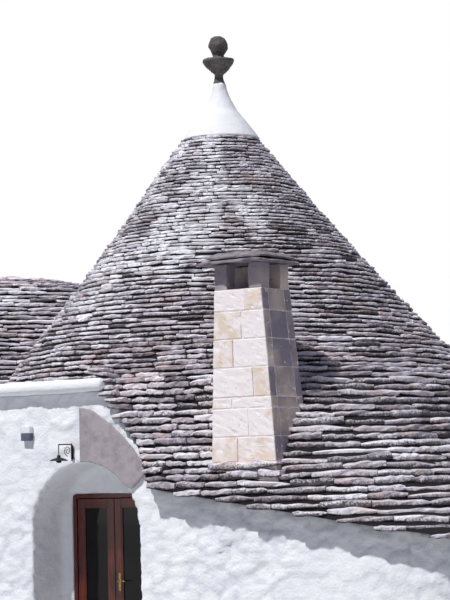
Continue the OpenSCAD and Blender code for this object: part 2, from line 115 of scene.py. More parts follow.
def slabMaterial():
    colours = slabLook
    material, tree, shader, place = startMaterial("splitLimestoneSlabs", 0.9, {"Specular IOR Level": 0.3})
    tone, wash, dark = [addNode(tree, "Attribute", {"attribute_name": label}).outputs["Fac"]
        for label in ("tone", "wash", "dark")]
    blotch, warm, specks, pits = [addNode(tree, "TexNoise", {"Scale": 1000 / colours[size],
        "Detail": detail, "Roughness": rough}, {"Vector": place}).outputs["Fac"]
        for size, detail, rough in (("blotchMm", 5.0, 0.65), ("warmMm", 2.0, 0.5), ("lichenMm", 6.0, 0.78),
            ("pitMm", 4.0, 0.5))]
    mixTone = addNode(tree, "Math", {"operation": "MULTIPLY_ADD", 1: 1.1, 2: -0.55}, {0: blotch})
    shade = addNode(tree, "Math", {"operation": "ADD", "use_clamp": True},
        {0: tone, 1: mixTone.outputs[0]})
    stones = addNode(tree, "ValToRGB", None, {"Fac": shade.outputs[0]})
    fillRamp(stones, colours["stones"])
    # the dark attribute brings painted shade under each slab and on the view's right side into the lichen
    # colour
    lichenAndShadeAt = addNode(tree, "Math", {"operation": "MULTIPLY_ADD", 1: 0.5}, {0: dark, 2: specks})
    washAt = addNode(tree, "Math", {"operation": "MULTIPLY_ADD", 1: 0.9}, {0: specks, 2: wash})
    colour = layered(tree, stones.outputs["Color"], [(warm, 0.5, 0.72, 0.55, colours["pink"]),
        (lichenAndShadeAt.outputs[0], 0.62, 0.84, 0.92, colours["lichenAndShade"]),
        (washAt.outputs[0], 0.72, 1.05, 0.96, colours["wash"])])
    joinShader(tree, shader, colour, pits, 0.6, colours["pitDepth"])
    return material


# A plain stone or plaster finish: two tones in blotches, spots of a third, and a fine grain
def stoneMaterial(name, base, second, spot, blotchMm, spotMm, grainMm, roughness, spotFrom=0.62, depthMm=4,
                  blotchFrom=0.42, byPiece=0.0, shadeAndWeatherColour="#8c8693", jointShadeAndDust=None):
    material, tree, shader, place = startMaterial(name, roughness, {"Specular IOR Level": 0.3})
    blotch, specks, grain = [addNode(tree, "TexNoise", {"Scale": 1000 / size, "Detail": detail,
        "Roughness": rough}, {"Vector": place}).outputs["Fac"]
        for size, detail, rough in ((blotchMm, 4.0, 0.6), (spotMm, 6.0, 0.65), (grainMm, 4.0, 0.5))]
    layers = [(specks, spotFrom, spotFrom + 0.12, 0.85, spot)]
    if byPiece:  # each block leans to one of the two tones, and one with a tone above 1 is greyed: painted shade with weathering
        tone = addNode(tree, "Attribute", {"attribute_name": "tone"}).outputs["Fac"]
        blotch = addNode(tree, "Math", {"operation": "MULTIPLY_ADD", 1: byPiece},
            {0: tone, 2: blotch}).outputs[0]
        layers.insert(0, (tone, 1.0, 3.0, 0.95, shadeAndWeatherColour))
    if jointShadeAndDust:  # painted shade in the joints, with dust and damp
        joint = addNode(tree, "Attribute", {"attribute_name": "joint"}).outputs["Fac"]
        layers.append((joint, 0.25, 1.1, 0.8, jointShadeAndDust))
    layers.insert(0, (blotch, blotchFrom, 0.68, 1.0, second))
    joinShader(tree, shader, layered(tree, base, layers), grain, 0.5, depthMm / 1000)
    return material


# A finish of one pattern, which gives the colour, if there are stops, and the bump
def patternMaterial(name, roughness, settings, kind, pattern, bumps, stops=(), stretch=None):
    material, tree, shader, place = startMaterial(name, roughness, settings)
    if stretch:
        place = addNode(tree, "Mapping", {"Scale": stretch}, {"Vector": place}).outputs[0]
    grain = addNode(tree, kind, pattern, {"Vector": place}).outputs["Fac"]
    colour = None
    if stops:
        ramp = addNode(tree, "ValToRGB", None, {"Fac": grain})
        fillRamp(ramp, stops)
        colour = ramp.outputs["Color"]
    joinShader(tree, shader, colour, grain, *bumps)
    return material


look = {
    "slabs": slabMaterial(),
    # packed earth and rubble behind the slabs, coloured near black as painted shade in the gaps between them
    "rubble": stoneMaterial("packedRubblePaintedShade", "#121014", "#1a171b", "#242024", 60, 25, 20, 0.95, depthMm=20),
    # many coats of lime on rubble: matt and nearly white, grey in the joints as painted shade with dust,
    # with a brushed skin
    "limewash": stoneMaterial("limewashedRubble", "#f0f2f6", "#e6e9ef", "#cdd0d6", 700, 60, 30, 0.88,
        spotFrom=0.68, depthMm=16, jointShadeAndDust="#c3c8d3"),
    # lime plaster laid on with a trowel: smooth, even and nearly white
    "render": stoneMaterial("trowelledLimePlaster", "#e9ebef", "#e0e2e8", "#cfd1d6", 260, 40, 35, 0.8,
        spotFrom=0.74, depthMm=4),
    # soft sawn limestone: cream and tan blocks, pitted and spotted grey; the side towards +x and the
    # lantern's posts greyed as painted shade with weathering
    "chimney": stoneMaterial("sawnLimestone", "#ebe4e6", "#dccbbc", "#9c9497", 200, 26, 10, 0.88,
        spotFrom=0.6, depthMm=9, blotchFrom=0.48, byPiece=0.2),
    # the lid's slabs and the finial are darker: bare stone under lichen and soot
    "capSlabs": stoneMaterial("weatheredSlabs", "#8d868d", "#565057", "#252227", 130, 25, 16, 0.92,
        depthMm=14),
    "finial": stoneMaterial("weatheredTufa", "#6e6864", "#47424a", "#28242a", 90, 22, 14, 0.93, depthMm=10,
        spotFrom=0.54),
    # floor slabs worn smooth by feet, and a plaque honed to an even grey
    "floor": stoneMaterial("wornChianche", "#c9bda8", "#b5a790", "#8d8272", 400, 50, 25, 0.6, depthMm=3),
    "plaque": stoneMaterial("honedGreyStone", "#a59da4", "#8e868d", "#6f686e", 140, 12, 6, 0.75, depthMm=2),
    # varnished wood: long grain up the leaf in dark and red browns under a satin coat, darkened as painted
    # shade of the recess
    "timber": patternMaterial("varnishedMahoganyShaded", 0.42, {"Coat Weight": 0.35, "Coat Roughness": 0.2},
        "TexNoise", {"Scale": 90.0, "Detail": 5.0, "Distortion": 0.6}, (0.25, 0.001),
        [(0.3, "#260904"), (0.55, "#521507"), (0.75, "#74260f")], (1.0, 1.0, 0.06)),
    # old window glass: slightly uneven, so that reflections waver, and tinted near black as painted shade of
    # the dark room behind
    "glass": patternMaterial("windowGlassShadeTint", 0.05, {"IOR": 1.38, "Transmission Weight": 0.8,
        "Base Color": linear("#1c1416")}, "TexNoise", {"Scale": 5.0, "Detail": 1.0},
        (0.15, 0.002)),
    # brass and iron: a second tone where the hand or the weather has been
    "brass": patternMaterial("wornBrass", 0.38, {"Metallic": 1.0}, "TexNoise",
        {"Scale": 1000 / 12, "Detail": 4.0}, (0.3, 0.001), [(0.4, "#b59a6c"), (0.65, "#6e5636")]),
    "iron": patternMaterial("wroughtIron", 0.55, {"Metallic": 0.7}, "TexNoise",
        {"Scale": 1000 / 10, "Detail": 4.0}, (0.3, 0.001), [(0.4, "#1b1c1f"), (0.65, "#2c2725")]),
    # plain woven cotton: threads drawn at 3 mm, coarser than real, so that they can show
    "cloth": patternMaterial("cottonVoile", 0.85, {"Sheen Weight": 0.2}, "TexWave",
        {"Scale": 1000 / 3 / 6.28, "bands_direction": "Z", "Distortion": 0.5}, (0.2, 0.001),
        [(0.0, "#b9bac0"), (1.0, "#dcdde2")]),
    # the box's lower half is grey-blue: painted shade under its lid
    "boxLowerShade": stoneMaterial("boxLowerPaintedShade", "#5d6478", "#4b5163", "#7b8192", 50, 18, 6, 0.6, depthMm=1),
    "box": stoneMaterial("paintedBox", "#e6e8ec", "#d5d8dd", "#aeb1b6", 60, 20, 8, 0.5, spotFrom=0.7,
        depthMm=1),
}
print("materials made")


# The house's own shape, in metres, as in the part's source
house = {
    "wallY": 3.1, "leftX": 6.5, "rightX": 5.22, "topZ": 3.45,
    "rakeX": 1.19, "eaveZ": 2.15, "corner": 0.35, "eaveFall": 0.155, "eaveOut": 0.18, "skirtZ": 3.9,
    "capR": 0.47, "capZ": 6.67, "footR": 2.66, "flare": 0.12, "lean": 0.16, "leanDir": math.radians(35),
    "wingX": -3.9, "wingR": 3.0, "wingTop": 5.06, "wingBulge": 3.0, "roofY": 3.02,
    "chimX": 1.98, "chimW": 0.87, "chimTopW": 0.64, "chimTopD": 0.57, "chimPost": 0.173,
    "chimY": 3.13, "chimTopY": 3.01, "chimFootZ": 2.38, "chimZ": 4.37, "archX": 0.1, "archR": 0.8,
    "lowerCourses": 19, "upperCourses": 33,
}
coneH = house["capZ"] - house["skirtZ"]


def coneRadius(z):
    drop = house["capZ"] - z
    slope = (house["footR"] - house["flare"] - house["capR"]) / coneH
    return house["capR"] + drop * slope + house["flare"] * (drop / coneH) ** 3


def coneCentre(z):
    k = house["lean"] * (max(0.0, house["capZ"] - z) / coneH) ** 1.3
    return k * math.cos(house["leanDir"]), k * math.sin(house["leanDir"])


def eaveAt(x):
    return house["eaveZ"] - (x - house["rakeX"]) * house["eaveFall"]


def endPoint(phi, reachX, reachY):
    c, s = max(0.0, math.cos(phi)), math.sin(phi)
    return (house["rakeX"] + (reachX - house["rakeX"]) * c ** house["corner"],
        math.copysign(reachY * abs(s) ** house["corner"], s))


def conePoint(z, phi):
    cx, cy = coneCentre(z)
    r = coneRadius(z)
    return cx + r * math.cos(phi), cy + r * math.sin(phi), z


def skirtPoint(phi, ring):
    fx, fy = endPoint(phi, house["rightX"] + house["eaveOut"], house["wallY"] + house["eaveOut"])
    tx, ty, tz = conePoint(house["skirtZ"], phi)
    return tx + (fx - tx) * ring, ty + (fy - ty) * ring, tz + (eaveAt(fx) - tz) * ring


def rakeAt(z):
    top = coneCentre(house["skirtZ"])[0]
    return top + (house["rakeX"] - top) * (house["skirtZ"] - z) / (house["skirtZ"] - house["eaveZ"])


def wingRadius(z):
    rise = house["wingTop"] - house["topZ"]
    k = max(0.0, 1 - (z - house["topZ"]) / rise) ** (1 / house["wingBulge"])
    return house["wingR"] * k


def chimneyEdges(z):
    k = (z - house["chimFootZ"]) / (house["chimZ"] - house["chimFootZ"])
    width = house["chimW"] + (house["chimTopW"] - house["chimW"]) * k
    front = -house["chimY"] + (house["chimY"] - house["chimTopY"]) * k
    return house["chimX"], house["chimX"] + width, front, -house["chimTopY"] + house["chimTopD"]


def inChimney(x, y, z):
    x0, x1, y0, y1 = chimneyEdges(z)
    return x0 < x < x1 and y0 < y < y1 and z < house["chimZ"] - 0.1


# Making and dressing pieces

def newObject(name, data):
    ob = bpy.data.objects.new(name, data)
    bpy.context.collection.objects.link(ob)
    return ob


def finishBm(name, bm):
    mesh = bpy.data.meshes.new(name)
    bm.to_mesh(mesh)
    bm.free()
    return newObject(name, mesh)


def paint(ob, finish):
    ob.data.materials.clear()
    ob.data.materials.append(look[finish])


def dress(ob, finish, body="house", replaced=(), smooth=True):
    paint(ob, finish)
    if smooth:
        ob.data.polygons.foreach_set("use_smooth", [True] * len(ob.data.polygons))
        ob.data.update()
    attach(ob, body)
    if replaced:
        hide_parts(*replaced)
    print(ob.name, len(ob.data.polygons), "faces")


def mergedCopy(name, nodes, grow=0.0):
    bm = bmesh.new()
    for node in nodes:
        part = bmesh.new()
        part.from_mesh(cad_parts[node].data)
        bmesh.ops.remove_doubles(part, verts=part.verts, dist=0.0002)
        if grow:
            part.normal_update()
            for v in part.verts:
                v.co += v.normal * grow
        mesh = bpy.data.meshes.new("part")
        part.to_mesh(mesh)
        part.free()
        bm.from_mesh(mesh)
        bpy.data.meshes.remove(mesh)
    return finishBm(name, bm)


def remesh(ob, size, smooth):
    voxels = ob.modifiers.new("remesh", "REMESH")
    voxels.mode = "VOXEL"
    voxels.voxel_size = size
    soft = ob.modifiers.new("soft", "SMOOTH")
    soft.iterations = smooth
    soft.factor = 0.5
    mesh = bpy.data.meshes.new_from_object(ob.evaluated_get(bpy.context.evaluated_depsgraph_get()))
    ob.modifiers.clear()
    ob.data = mesh
    mesh.name = ob.name


def addLayer(mesh, label, values):
    layer = mesh.attributes.new(label, "FLOAT", "POINT")
    layer.data.foreach_set("value", values.astype(np.float32))


def roughen(ob, reliefAt):
    mesh = ob.data
    co, normal = np.empty(len(mesh.vertices) * 3), np.empty(len(mesh.vertices) * 3)
    mesh.vertices.foreach_get("co", co)
    mesh.vertices.foreach_get("normal", normal)
    co, normal = co.reshape(-1, 3), normal.reshape(-1, 3)
    push = np.array([reliefAt(Vector(p), Vector(v)) for p, v in zip(co, normal)])
    if push.ndim == 2:  # the second figure says how deep in a joint the point lies
        addLayer(mesh, "joint", push[:, 1])
        push = push[:, 0]
    co = co + normal * push[:, None]
    co[:, 2] = np.maximum(co[:, 2], 0.0)
    mesh.vertices.foreach_set("co", co.ravel())
    mesh.update()


def grit(p, scale, rough=1.0):
    return noise.fractal(p * scale, rough, 2.0, 3)


def roundedBox(bm, corner, size):
    box = bmesh.ops.create_cube(bm, size=1.0)["verts"]
    for v in box:
        v.co = corner(v)
    edges = list({e for v in box for e in v.link_edges})
    return bmesh.ops.bevel(bm, geom=edges, offset=size, offset_type="OFFSET", affect="EDGES", segments=2,
        profile=0.5, material=-1)["verts"]


# Slabs

slabs = {
    "smallShapes": 18, "bigShapes": 16, "gap": 0.008, "out": 0.022, "fill": (0.54, 0.82),
    "skirtFill": (0.68, 0.95), "depth": (0.16, 0.24), "tiltDeg": (-3, 9), "rollDeg": 1.3, "wave": 0.016,
}
slabRows = {  # a slab's four rows of points, from the underside up; shade makes the lower rows darker, painted shade with dirt
    "level": (0.0, 0.24, 0.76, 1.0), "push": (-0.014, 0.0, 0.003, -0.005), "shade": (0.9, 0.34, 0.0, 0.0),
}


def slabShape(rng, stations, ragged, pointed):
    bm = bmesh.new()
    bmesh.ops.create_cube(bm, size=1.0)
    along = [e for e in bm.edges if abs(e.verts[0].co.x - e.verts[1].co.x) > 0.5]
    bmesh.ops.subdivide_edges(bm, edges=along, cuts=stations, use_grid_fill=True)
    upright = [e for e in bm.edges if abs(e.verts[0].co.z - e.verts[1].co.z) > 0.5]
    bmesh.ops.subdivide_edges(bm, edges=upright, cuts=2, use_grid_fill=True)
    bmesh.ops.translate(bm, verts=bm.verts, vec=(0, -0.5, 0.5))
    bmesh.ops.recalc_face_normals(bm, faces=bm.faces)
    thin = rng.uniform(0.02, pointed)
    lean = rng.uniform(-0.14, 0.14)
    peak = rng.uniform(-0.2, 0.2)
    wobble = {round(v.co.x, 3): [rng.uniform(-1, 1) for _ in range(6)] for v in bm.verts}
    shape, extra, under = [], [], []
    for v in bm.verts:
        x, y, z = v.co
        w = wobble[round(x, 3)]
        end = min(1.0, abs(2 * (x - peak)) / (1 + abs(2 * peak))) ** 2.6
        row = 0 if z < 0.1 else 1 if z < 0.5 else 2 if z < 0.9 else 3
        top = 1 - thin * end * 0.45 + ragged * w[0]
        bottom = thin * end * 0.4 + ragged * w[1]
        level = bottom + (top - bottom) * slabRows["level"][row] + lean * x
        push = 0.0
        if y > -0.5:
            push = slabRows["push"][row] + 0.009 * w[2 + row]
            push -= (0.022 + 0.012 * w[1]) * (abs(2 * x) ** 7)
        shape.append((x, y, level))
        extra.append(push)
        # painted shade, with dirt, on the slab's lower rows
        under.append(slabRows["shade"][row])
    bm.verts.index_update()
    faces = [[v.index for v in f.verts] for f in bm.faces]
    bm.free()
    return np.array(shape), np.array(extra), np.array(faces), np.array(under)


shapeRng = random.Random(11)
smallSlabs = [slabShape(shapeRng, 4, 0.1, 0.42) for _ in range(slabs["smallShapes"])]
bigSlabs = [slabShape(shapeRng, 6, 0.12, 0.75) for _ in range(slabs["bigShapes"])]
allSlabs = smallSlabs + bigSlabs


# Old limewash: broad faded strokes, as places across the view and up the cone
washStrokes = [
    ((-0.12, 6.62), (-0.12, 5.35), 0.10, 1.0), ((-0.16, 6.15), (-1.05, 4.85), 0.12, 0.9),
    ((-0.08, 6.15), (0.48, 5.25), 0.10, 0.9), ((-0.75, 5.72), (0.40, 5.80), 0.10, 0.7),
    ((-0.70, 5.30), (-1.05, 4.72), 0.09, 0.9), ((-0.36, 5.30), (-0.66, 4.70), 0.09, 0.9),
    ((-0.20, 5.20), (-0.34, 4.60), 0.08, 0.7), ((-1.3, 5.0), (-1.75, 4.3), 0.2, 0.6),
]
viewSide = math.radians(35)


def washField(co):
    across = co[:, 0] * math.cos(viewSide) + co[:, 1] * math.sin(viewSide)
    facing = co[:, 0] * math.sin(viewSide) - co[:, 1] * math.cos(viewSide)
    amount = np.zeros(len(co))
    for (ax, az), (bx, bz), width, strength in washStrokes:
        dx, dz = bx - ax, bz - az
        t = np.clip(((across - ax) * dx + (co[:, 2] - az) * dz) / (dx * dx + dz * dz), 0, 1)
        far = np.hypot(across - ax - t * dx, co[:, 2] - az - t * dz)
        amount = np.maximum(amount, strength * np.clip(1.6 - far / width, 0, 1))
    amount *= facing > 0
    broad = np.array([noise.noise(Vector(p) * 1.3) for p in co[::8]]).repeat(8)[:len(co)]
    left = np.clip((1.7 - across) / 1.6, 0, 1) * np.clip((co[:, 2] - 3.2) / 1.5, 0, 1)
    return np.clip(0.5 * amount + 0.42 * left * (0.8 + 0.9 * broad), 0, 1)


def buildSlabs(name, course):
    groups = {}
    for slab in course:
        groups.setdefault(slab["shape"], []).append(slab)
    verts, faces, tones, darks, keeps, count = [], [], [], [], [], 0
    for key, members in groups.items():
        shape, extra, quads, under = allSlabs[key]
        n = len(shape)
        size = np.array([[m["length"], m["depth"], m["height"]] for m in members])
        axes = np.array([m["axes"] for m in members])
        start = np.array([m["start"] for m in members])
        local = shape[None, :, :] * size[:, None, :]
        local[:, :, 1] += extra[None, :]
        co = np.einsum("mvk,mkj->mvj", local, axes) + start[:, None, :]
        verts.append(co.reshape(-1, 3))
        firsts = count + np.arange(len(members)) * n
        faces.append((quads[None, :, :] + firsts[:, None, None]).reshape(-1, 4))
        count += n * len(members)
        tones.append(np.repeat([m["tone"] for m in members], n))
        darks.append((np.array([m["dark"] for m in members])[:, None] + under[None, :]).reshape(-1))
        keeps.append(np.repeat([m["keep"] for m in members], n))
    verts = np.concatenate(verts)
    mesh = bpy.data.meshes.new(name)
    mesh.from_pydata(verts.tolist(), [], np.concatenate(faces).tolist())
    addLayer(mesh, "tone", np.concatenate(tones))
    addLayer(mesh, "dark", np.concatenate(darks))
    addLayer(mesh, "wash", washField(verts) * np.concatenate(keeps))
    mesh.update()
    dress(newObject(name, mesh), "slabs", smooth=False)


# One course: points are its line, lengths gives the shortest and longest slab at a place
def layCourse(out, points, pitch, rng, lengths, closed=False, big=False, rag=0.0, fill=slabs["fill"]):
    line = np.array(points + points[:1] if closed else points)
    line[:, 2] += [slabs["wave"] * noise.noise(Vector(p) * 1.4) for p in line]
    steps = np.linalg.norm(np.diff(line, axis=0), axis=1)
    reach = np.concatenate([[0], np.cumsum(steps)])
    total = reach[-1]
    if total < 0.1:
        return

    def at(s):
        return np.array([np.interp(s, reach, line[:, i]) for i in range(3)])

    s = -rng.uniform(0, rag)
    stop = total + rng.uniform(0, rag)
    while s < stop - 0.04:
        short, long = lengths(at(max(0, s)))
        length = rng.triangular(short, long, short * 0.75 + long * 0.25)
        if stop - s - length < short * 0.6:
            length = min(stop - s, long * 1.1)
        a, b = at(max(0, s)), at(min(total, s + length))
        chord = b - a
        if np.linalg.norm(chord) < 0.02:
            s += length
            continue
        tangent = chord / np.linalg.norm(chord)
        mid = (a + b) / 2 + tangent * (min(0.0, s) + max(0.0, s + length - total)) / 2
        s += length
        outward = np.cross(tangent, (0, 0, 1))
        outward /= np.linalg.norm(outward)
        tilt = math.radians(rng.uniform(*slabs["tiltDeg"]))
        roll = math.radians(rng.gauss(0, slabs["rollDeg"]))
        up = np.cross(outward, tangent)
        yAxis = outward * math.cos(tilt) - up * math.sin(tilt)
        zAxis = up * math.cos(tilt) + outward * math.sin(tilt)
        xAxis = tangent * math.cos(roll) + zAxis * math.sin(roll)
        zAxis = zAxis * math.cos(roll) - tangent * math.sin(roll)
        height = pitch * rng.uniform(*fill)
        start = mid + outward * (slabs["out"] + rng.uniform(-0.008, 0.016))
        start = start + np.array([0, 0, 1]) * pitch * rng.uniform(-0.08, 0.08)
        view = start[0] * math.cos(viewSide) + start[1] * math.sin(viewSide)
        rightShadeLowDark = min(1.0, max(0.0, (view + 0.2) / 3.2)) * 0.03  # painted shade towards the view's right, and darker low down
        rightShadeLowDark += min(1.0, max(0.0, (4.0 - start[2]) / 1.2)) * 0.07
        patch = noise.noise(Vector(start) * 0.9)
        first = len(smallSlabs) if big else 0
        out.append({
            "shape": first + rng.randrange(len(bigSlabs) if big else len(smallSlabs)),
            "length": length - slabs["gap"] * rng.uniform(0.5, 1.8), "height": height,
            "depth": rng.uniform(*slabs["depth"]), "axes": [xAxis, yAxis, zAxis], "start": start,
            "tone": min(1.0, max(0.0, rng.gauss(0.66, 0.2) - 0.5 * rightShadeLowDark + 0.2 * patch)),
            "dark": min(1.0, max(0.0, rng.gauss(0.14, 0.16) + 0.6 * rightShadeLowDark + 0.3 * patch)),
            "keep": rng.uniform(0.45, 1.3),
        })


def coneCourses(zFrom, zTo, count, rng, lengths):
    band = []
    pitch = (zTo - zFrom) / count
    sides = 96
    for i in range(count):
        turn = rng.uniform(0, math.tau)
        points = [conePoint(zFrom + pitch * i, turn + math.tau * k / sides) for k in range(sides)]
        layCourse(band, points, pitch, rng, lengths, closed=True)
    return band


roofRng = random.Random(5)
splitZ = house["skirtZ"] + 0.42 * coneH
lower = coneCourses(house["skirtZ"], splitZ, house["lowerCourses"], roofRng, lambda spot: (0.13, 0.5))
upper = coneCourses(splitZ, house["capZ"], house["upperCourses"], roofRng,
    lambda spot: (0.1, 0.3 + 0.1 * (house["capZ"] - spot[2])))
buildSlabs("slabsConeUpper", upper)
buildSlabs("slabsConeLower", lower)

# The skirt's courses lie level, so they end in steps along the falling eave
skirt = {
    "highPitch": 0.064, "lowPitch": 0.083, "changeZ": 3.4, "lowestZ": 1.45, "under": 0.6,
    "verge": 0.03, "proud": 0.015,
    "toe": [((1.95, -3.16, 2.33), (2.88, -3.16, 2.33)), ((2.2, -3.175, 2.248), (2.92, -3.175, 2.248))],
}


def outlineAngles(steps):
    power = 1 / house["corner"]
    corner = 0.5 ** (house["corner"] / 2)
    front = [-math.acos(u ** power) for u in np.linspace(0, corner, steps)]
    front += [-math.asin(v ** power) for v in np.linspace(corner, 0, steps)][1:]
    return front + [-a for a in front[-2::-1]]


def levelRun(z, pitch):
    run = []
    for phi in outlineAngles(20):
        eave = eaveAt(endPoint(phi, house["rightX"] + house["eaveOut"], house["wallY"])[0])
        if z < eave - skirt["under"] * pitch:
            continue
        x, y, _ = skirtPoint(phi, min(1.0, (house["skirtZ"] - z) / (house["skirtZ"] - eave)))
        run.append((x, y, z))
    if run and abs(run[0][0] - rakeAt(z)) < 0.01:  # the course turns forward over the wall's sloping top
        for side in (-1, 1):
            reach = house["wallY"] + skirt["proud"]
            if z >= house["topZ"] + 0.1:
                reach = min(house["roofY"], abs(conePoint(z, side * math.pi / 2)[1]))
            if reach > abs(run[0 if side < 0 else -1][1]):
                run.insert(0 if side < 0 else len(run), (rakeAt(z) + skirt["verge"], side * reach, z))
    return run


def splitRun(run):
    line = np.array(run)
    reach = np.concatenate([[0], np.cumsum(np.linalg.norm(np.diff(line, axis=0), axis=1))])
    runs = [[]]
    for s in np.arange(0, reach[-1], 0.03):
        spot = tuple(float(np.interp(s, reach, line[:, i])) for i in range(3))
        if not inChimney(*spot):
            runs[-1].append(spot)
        elif runs[-1]:
            runs.append([])
    return [r for r in runs if len(r) > 3]


def skirtLengths(spot):
    share = min(1.0, max(0.0, (spot[0] - 1.7) / 1.2))
    return 0.2 + 0.08 * share, 0.5 + 0.42 * share


def skirtCourses(rng):
    band = []
    z = house["skirtZ"]
    while z > skirt["lowestZ"]:
        pitch = skirt["highPitch"] if z > skirt["changeZ"] else skirt["lowPitch"]
        z -= pitch
        run = levelRun(z, pitch)
        for part in splitRun(run) if len(run) > 1 else []:
            layCourse(band, part, pitch, rng, skirtLengths, big=True, rag=0.05, fill=slabs["skirtFill"])
    for toe in skirt["toe"]:  # two last courses against the chimney's foot
        layCourse(band, list(toe), skirt["lowPitch"], rng, skirtLengths, big=True, fill=(0.85, 1.0))
    return band


skirtSlabs = {"slabsSkirtFront": [], "slabsSkirtRight": [], "slabsSkirtBack": []}
for slab in skirtCourses(roofRng):
    turn = math.degrees(math.atan2(slab["start"][1], slab["start"][0] + house["footR"]))
    side = "slabsSkirtFront" if turn < -21 else "slabsSkirtBack" if turn > 21 else "slabsSkirtRight"
    skirtSlabs[side].append(slab)
for name, members in skirtSlabs.items():
    buildSlabs(name, members)


def leftCourses(rng):
    band = []
    pitch = skirt["highPitch"]
    z = house["skirtZ"] - pitch
    while z > house["topZ"] - 0.06:
        level = max(z, house["topZ"] - 0.012)
        run = []
        for degree in range(90, 301, 2):
            x, y, _ = conePoint(level, math.radians(degree))
            if x <= rakeAt(level):
                run.append((x, max(-house["roofY"], min(house["roofY"], y)), level))
            elif degree > 270:
                break
        layCourse(band, run, pitch, rng, lambda spot: (0.16, 0.45), big=True, rag=0.08)
        z -= pitch
    return band


buildSlabs("slabsConeLeft", leftCourses(roofRng))


# The blunt cone's courses come closer in height as its top flattens
wing = {"pitch": 0.062, "cover": 0.17, "crown": 0.1, "lengths": (0.2, 0.56)}


def wingLevels():
    levels = []
    z = house["topZ"]
    while z < house["wingTop"] - 0.001:
        levels.append(z)
        step = wing["pitch"]
        while step > 0.0005 and wingRadius(z) - wingRadius(z + step) > wing["cover"]:
            step *= 0.8
        z += step
    return [z for z in levels if wingRadius(z) > wing["crown"]]


def wingCourses(rng):
    band = []
    for z in wingLevels():
        r = wingRadius(z)
        cx, cy = coneCentre(z)
        ring, hidden = [], []
        for degree in range(0, 360, 3):
            angle = math.radians(degree)
            x = max(-house["leftX"] + 0.08, house["wingX"] + r * math.cos(angle))
            y = max(-house["roofY"], min(house["roofY"], r * math.sin(angle)))
            ring.append((x, y, z))
            hidden.append(math.hypot(x - cx, y - cy) < coneRadius(z) - 0.1)
        turn = max([i for i, inside in enumerate(hidden) if inside and i < 60], default=-1) + 1
        spots = zip(ring[turn:] + ring[:turn], hidden[turn:] + hidden[:turn])
        run = [spot for spot, inside in spots if not inside]  # what the tall cone leaves free
        if len(run) > 3:
            layCourse(band, run, wing["pitch"], rng, lambda spot: wing["lengths"], big=True,
                closed=not any(hidden), rag=0.1)
    return band


buildSlabs("slabsWing", wingCourses(roofRng))
for name in ("skirt_front", "skirt_right_front", "skirt_right_back", "skirt_back", "skirt_left",
        "cone_lower", "cone_upper", "wing_cone"):
    # the core's near-black colour is painted shade in the gaps between the slabs
    paint(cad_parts[name], "rubble")
print("roof laid")


# Walls and cornice: the frame's solids joined, meshed evenly and given their stones' relief

walls = {
    "stone": (0.28, 0.28, 0.11), "pillow": 0.008, "step": 0.013, "fine": 0.013, "broad": 0.012,
    "grow": 0.0015, "voxel": 0.039, "split": -2.0,
}


def wallRelief(p, n):
    sx, sy, sz = walls["stone"]
    bend = noise.noise(p * 1.7) * 0.4
    far, cells = noise.voronoi(Vector((p.x / sx + bend, p.y / sy, p.z / sz + bend)))
    edge = min(1.0, (far[1] - far[0]) / 0.3)
    pillow = edge * (2 - edge)
    cell = noise.cell(cells[0] * 3.7)
    inRecess = -3.0 < p.y < -2.1 and abs(p.x - house["archX"]) < house["archR"] + 0.1
    inRoom = abs(p.y) < 2.2 and -5.6 < p.x < 4.4
    amount = 0.75 + 0.5 * noise.noise(p * 0.6)
    if inRecess:
        amount = 0.45 if p.z > 0.9 else 0.8
    if abs(n.z) > 0.7:
        amount = 0.1
    if inRoom:
        amount = 0.4
    fine = grit(Vector((p.x * 11, p.y * 11, p.z * 17)), 1, 0.7)
    worn = walls["pillow"] * (pillow - 0.6) + walls["step"] * (cell - 0.5) + walls["fine"] * fine
    broad = walls["broad"] * noise.noise(p * 0.9) * (0.3 if inRoom else 1.0)
    return amount * worn + broad, amount * (1 - edge)


def halfOf(source, name, front):
    bm = bmesh.new()
    bm.from_mesh(source.data)
    bmesh.ops.bisect_plane(bm, geom=bm.verts[:] + bm.edges[:] + bm.faces[:], dist=0.0001,
        plane_co=(0, walls["split"], 0), plane_no=(0, 1, 0), clear_outer=front, clear_inner=not front)
    return finishBm(name, bm)


frontWalls = ("wall_front_left", "wall_over_door", "door_pier_right", "door_wall_left", "door_wall_right",
    "door_wall_top", "wall_front_right")
otherWalls = ("wall_corner_front", "wall_end_right", "wall_corner_back", "wall_back_right", "wall_back_left",
    "wall_end_left")
allWalls = mergedCopy("allWalls", frontWalls + otherWalls, walls["grow"])
remesh(allWalls, walls["voxel"], 1)
roughen(allWalls, wallRelief)
for name, nodes, front in (("wallsFront", frontWalls, True), ("wallsRest", otherWalls, False)):
    dress(halfOf(allWalls, name, front), "limewash", replaced=nodes)
bpy.data.objects.remove(allWalls)


corniceNodes = ("cornice_front", "cornice_left", "cornice_back")
cornice = mergedCopy("corniceBand", corniceNodes, walls["grow"])
remesh(cornice, 0.045, 3)
roughen(cornice, lambda p, n: 0.010 * noise.noise(p * 2.3) + 0.005 * grit(p, 8))
dress(cornice, "limewash", replaced=corniceNodes)
print("walls done")


# Turned pieces: a profile of (radius, height) spun about the axis

def turned(name, profile, steps):
    bm = bmesh.new()
    verts = [bm.verts.new((max(r, 0.0), 0, z)) for r, z in profile]
    edges = [bm.edges.new(pair) for pair in zip(verts, verts[1:])]
    bmesh.ops.spin(bm, geom=verts + edges, cent=(0, 0, 0), axis=(0, 0, 1), angle=math.tau, steps=steps,
        use_merge=True)
    bmesh.ops.remove_doubles(bm, verts=bm.verts, dist=0.0004)
    bmesh.ops.recalc_face_normals(bm, faces=bm.faces)
    return finishBm(name, bm)


